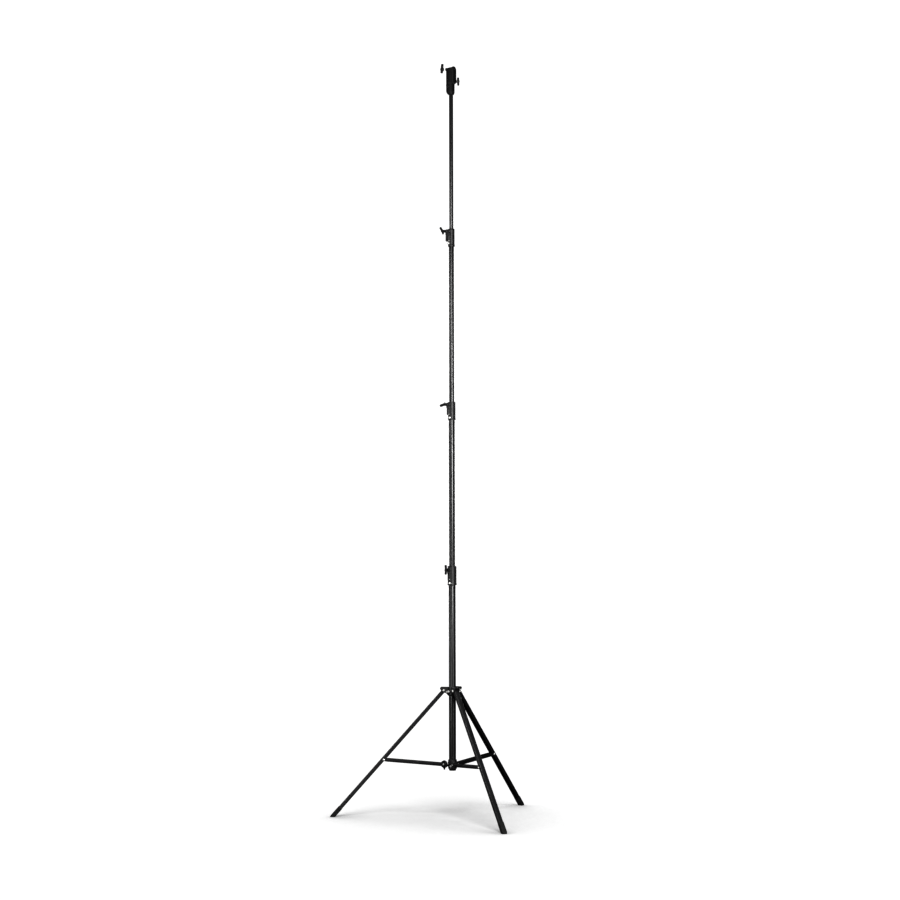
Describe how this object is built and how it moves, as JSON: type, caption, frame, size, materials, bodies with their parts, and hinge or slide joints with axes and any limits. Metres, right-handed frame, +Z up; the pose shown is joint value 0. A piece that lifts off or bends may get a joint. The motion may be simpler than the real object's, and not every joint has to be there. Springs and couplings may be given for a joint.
{
  "type": "light stand",
  "caption": "Tall black telescoping light stand: clamped risers on a folding tripod with braces, and a socket head with two hand screws on top.",
  "frame": {"origin": "on the floor, at the middle of the box round the open stand", "axes": "+Z up along the column; the column stands off the origin because the three feet are not symmetric about it; -Y is the side with the front leg"},
  "size_m": [0.9934, 1.081, 3.8016],
  "materials": {
    "tube_black": "satin black anodised",
    "cast_black": "fine-textured black powder coat on a casting",
    "moulded_black": "satin moulded plastic",
    "nylon_grey": "matt nylon",
    "rubber_black": "matt",
    "steel_bright": "zinc-plated, satin"
  },
  "bodies": {
    "base": {"base_tube": "tube_black", "base_plug": "moulded_black", "lower_collar": "cast_black", "collar_fixing_screw": "steel_bright", "brace_pin_1": "steel_bright", "brace_pin_2": "steel_bright", "brace_pin_3": "steel_bright", "clamp_1_body": "cast_black", "clamp_1_liner": "nylon_grey", "clamp_1_fixing_screw": "steel_bright"},
    "collar_knob": {"collar_knob": "moulded_black", "collar_knob_screw": "steel_bright"},
    "crown": {"crown_casting": "cast_black", "crown_sleeve": "nylon_grey", "crown_screw_a": "steel_bright", "crown_screw_b": "steel_bright", "leg_bolt_1": "steel_bright", "leg_bolt_2": "steel_bright", "leg_bolt_3": "steel_bright"},
    "crown_knob": {"crown_knob": "moulded_black", "crown_knob_screw": "steel_bright"},
    "leg_1": {"leg_1": "tube_black", "leg_1_foot": "rubber_black"},
    "brace_1": {"brace_1": "tube_black", "brace_1_rivet_a": "steel_bright", "brace_1_rivet_b": "steel_bright"},
    "leg_2": {"leg_2": "tube_black", "leg_2_foot": "rubber_black"},
    "brace_2": {"brace_2": "tube_black", "brace_2_rivet_a": "steel_bright", "brace_2_rivet_b": "steel_bright"},
    "leg_3": {"leg_3": "tube_black", "leg_3_foot": "rubber_black"},
    "brace_3": {"brace_3": "tube_black", "brace_3_rivet_a": "steel_bright", "brace_3_rivet_b": "steel_bright"},
    "clamp_1_lever": {"clamp_1_lever": "moulded_black", "clamp_1_screw": "steel_bright"},
    "riser_1_bush": {"riser_1_bush": "nylon_grey"},
    "riser_1": {"riser_1_tube": "tube_black", "clamp_2_body": "cast_black", "clamp_2_liner": "nylon_grey", "clamp_2_fixing_screw": "steel_bright"},
    "clamp_2_lever": {"clamp_2_lever": "moulded_black", "clamp_2_screw": "steel_bright"},
    "riser_2_bush": {"riser_2_bush": "nylon_grey"},
    "riser_2": {"riser_2_tube": "tube_black", "clamp_3_body": "cast_black", "clamp_3_liner": "nylon_grey", "clamp_3_fixing_screw": "steel_bright"},
    "clamp_3_lever": {"clamp_3_lever": "moulded_black", "clamp_3_screw": "steel_bright"},
    "riser_3_bush": {"riser_3_bush": "nylon_grey"},
    "riser_3": {"riser_3_tube": "tube_black", "head_casting": "cast_black", "head_fixing_screw": "steel_bright"},
    "head_upper_handle": {"head_upper_handle": "moulded_black", "head_upper_screw": "steel_bright"},
    "head_lower_handle": {"head_lower_handle": "moulded_black", "head_lower_screw": "steel_bright"}
  },
  "joints": [
    {"name": "crown_slide", "type": "slide", "parent": "base", "child": "crown", "axis": [0, 0, 1], "range_m": [0, 0.4101]},
    {"name": "leg_1_fold", "type": "hinge", "parent": "crown", "child": "leg_1", "pos_m": [0.14049, -0.00711, 0.645], "axis": [0.9135, 0.4067, 0], "range_deg": [0, 41.51]},
    {"name": "brace_1_fold", "type": "hinge", "parent": "base", "child": "brace_1", "pos_m": [0.13503, 0.00513, 0.27], "axis": [-0.9135, -0.4067, 0], "range_deg": [0, 84.45]},
    {"name": "leg_2_fold", "type": "hinge", "parent": "crown", "child": "leg_2", "pos_m": [0.08107, 0.03605, 0.645], "axis": [-0.1045, -0.9945, 0], "range_deg": [0, 41.51]},
    {"name": "brace_2_fold", "type": "hinge", "parent": "base", "child": "brace_2", "pos_m": [0.0944, 0.03465, 0.27], "axis": [0.1045, 0.9945, 0], "range_deg": [0, 84.45]},
    {"name": "leg_3_fold", "type": "hinge", "parent": "crown", "child": "leg_3", "pos_m": [0.14816, 0.06592, 0.645], "axis": [-0.809, 0.5878, 0], "range_deg": [0, 41.51]},
    {"name": "brace_3_fold", "type": "hinge", "parent": "base", "child": "brace_3", "pos_m": [0.14029, 0.05508, 0.27], "axis": [0.809, -0.5878, 0], "range_deg": [0, 84.45]},
    {"name": "collar_knob_turn", "type": "hinge", "parent": "base", "child": "collar_knob", "pos_m": [0.09496, 0.00334, 0.277], "axis": [-0.7071, -0.7071, 0], "continuous": true},
    {"name": "crown_knob_turn", "type": "hinge", "parent": "crown", "child": "crown_knob", "pos_m": [0.10697, 0.06816, 0.64], "axis": [-0.4067, 0.9135, 0], "continuous": true},
    {"name": "clamp_1_lever_turn", "type": "hinge", "parent": "base", "child": "clamp_1_lever", "pos_m": [0.09351, 0.00485, 1.2512], "axis": [-0.7431, -0.6691, 0], "continuous": true},
    {"name": "riser_1_slide", "type": "slide", "parent": "base", "child": "riser_1_bush", "axis": [0, 0, 1], "range_m": [-0.7336, 0]},
    {"name": "riser_1_swivel", "type": "hinge", "parent": "riser_1_bush", "child": "riser_1", "pos_m": [0.12324, 0.03162, 1.11], "axis": [0, 0, 1], "continuous": true},
    {"name": "clamp_2_lever_turn", "type": "hinge", "parent": "riser_1", "child": "clamp_2_lever", "pos_m": [0.0886, 0.01162, 2.085], "axis": [-0.866, -0.5, 0], "continuous": true},
    {"name": "riser_2_slide", "type": "slide", "parent": "riser_1", "child": "riser_2_bush", "axis": [0, 0, 1], "range_m": [-0.7805, 0]},
    {"name": "riser_2_swivel", "type": "hinge", "parent": "riser_2_bush", "child": "riser_2", "pos_m": [0.12324, 0.03162, 1.958], "axis": [0, 0, 1], "continuous": true},
    {"name": "clamp_3_lever_turn", "type": "hinge", "parent": "riser_2", "child": "clamp_3_lever", "pos_m": [0.0876, 0.01346, 2.9575], "axis": [-0.891, -0.454, 0], "continuous": true},
    {"name": "riser_3_slide", "type": "slide", "parent": "riser_2", "child": "riser_3_bush", "axis": [0, 0, 1], "range_m": [-0.6725, 0]},
    {"name": "riser_3_swivel", "type": "hinge", "parent": "riser_3_bush", "child": "riser_3", "pos_m": [0.12324, 0.03162, 2.831], "axis": [0, 0, 1], "continuous": true},
    {"name": "head_upper_handle_turn", "type": "hinge", "parent": "riser_3", "child": "head_upper_handle", "pos_m": [0.08324, 0.03162, 3.774], "axis": [-1, 0, 0], "continuous": true},
    {"name": "head_lower_handle_turn", "type": "hinge", "parent": "riser_3", "child": "head_lower_handle", "pos_m": [0.16324, 0.03162, 3.714], "axis": [1, 0, 0], "continuous": true}
  ],
  "couplings": [
    {"joint": "leg_1_fold", "follows": "crown_slide", "rad_per_m": 1.7658},
    {"joint": "brace_1_fold", "follows": "crown_slide", "rad_per_m": 3.5933},
    {"joint": "leg_2_fold", "follows": "crown_slide", "rad_per_m": 1.7658},
    {"joint": "brace_2_fold", "follows": "crown_slide", "rad_per_m": 3.5933},
    {"joint": "leg_3_fold", "follows": "crown_slide", "rad_per_m": 1.7658},
    {"joint": "brace_3_fold", "follows": "crown_slide", "rad_per_m": 3.5933}
  ]
}
